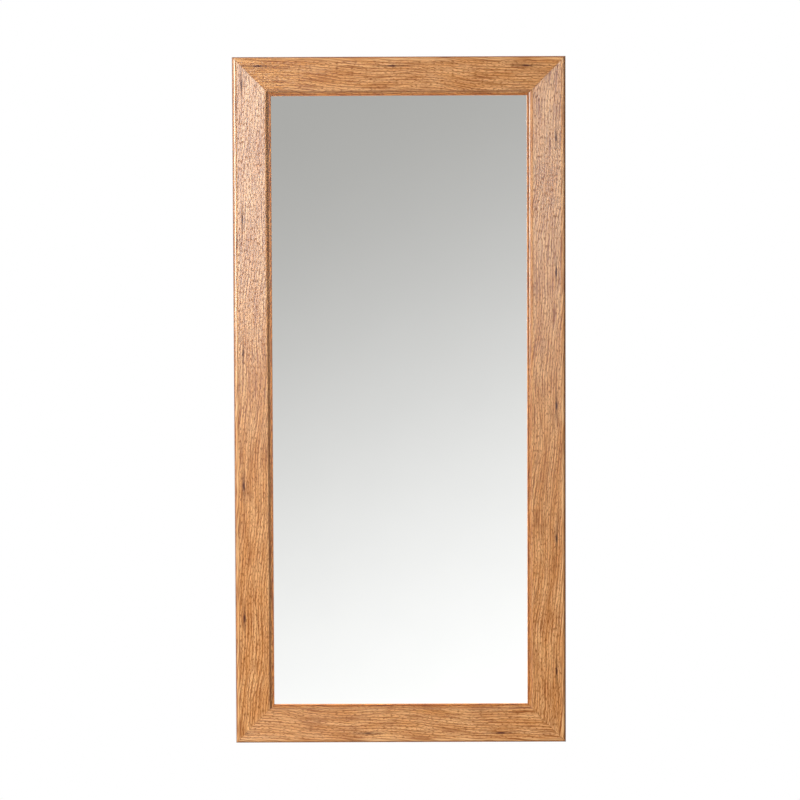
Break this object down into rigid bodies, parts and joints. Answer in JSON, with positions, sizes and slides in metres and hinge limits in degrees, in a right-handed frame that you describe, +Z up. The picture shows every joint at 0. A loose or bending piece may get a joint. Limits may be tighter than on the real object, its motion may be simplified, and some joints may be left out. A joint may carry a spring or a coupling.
{
  "type": "framed wall mirror",
  "caption": "Tall rectangular wall mirror in a wide mitred oak-look frame with a beaded outer edge and a grooved sight edge, with swinging ring hangers on the back.",
  "frame": {"origin": "centre of the mirror, on the plane of the wall that it hangs on", "axes": "+Z up along the long side, +Y from the mirror's face towards the wall, +X to the right as seen from the front"},
  "size_m": [0.58, 0.029, 1.2],
  "materials": {
    "frame_moulding": "oak-look printed decor foil, satin, wrapped on a wood-fibre core",
    "mirror_glass": "silvered float glass",
    "hardboard": "smooth hardboard",
    "bright_steel": "bright cold-rolled strip",
    "zinc_plated_steel": "bright zinc plate",
    "bumper_rubber": "matt moulded rubber"
  },
  "bodies": {
    "mirror": {"top_rail": "frame_moulding", "bottom_rail": "frame_moulding", "left_stile": "frame_moulding", "right_stile": "frame_moulding", "mirror_glass": "mirror_glass", "backing_board": "hardboard", "v_nails_bottom_left": "bright_steel", "v_nails_top_left": "bright_steel", "v_nails_top_right": "bright_steel", "v_nails_bottom_right": "bright_steel", "points_top": "bright_steel", "points_bottom": "bright_steel", "points_left": "bright_steel", "points_right": "bright_steel", "hanger_plate_left": "zinc_plated_steel", "hanger_screws_left": "zinc_plated_steel", "bumper_left": "bumper_rubber", "hanger_plate_right": "zinc_plated_steel", "hanger_screws_right": "zinc_plated_steel", "bumper_right": "bumper_rubber"},
    "left_ring": {"hanger_ring_left": "zinc_plated_steel"},
    "right_ring": {"hanger_ring_right": "zinc_plated_steel"}
  },
  "joints": [
    {"name": "left_ring_swing", "type": "hinge", "parent": "mirror", "child": "left_ring", "pos_m": [-0.2605, -0.00392, 0.4], "axis": [1, 0, 0], "range_deg": [0, 176]},
    {"name": "right_ring_swing", "type": "hinge", "parent": "mirror", "child": "right_ring", "pos_m": [0.2605, -0.00392, 0.4], "axis": [1, 0, 0], "range_deg": [0, 176]}
  ]
}
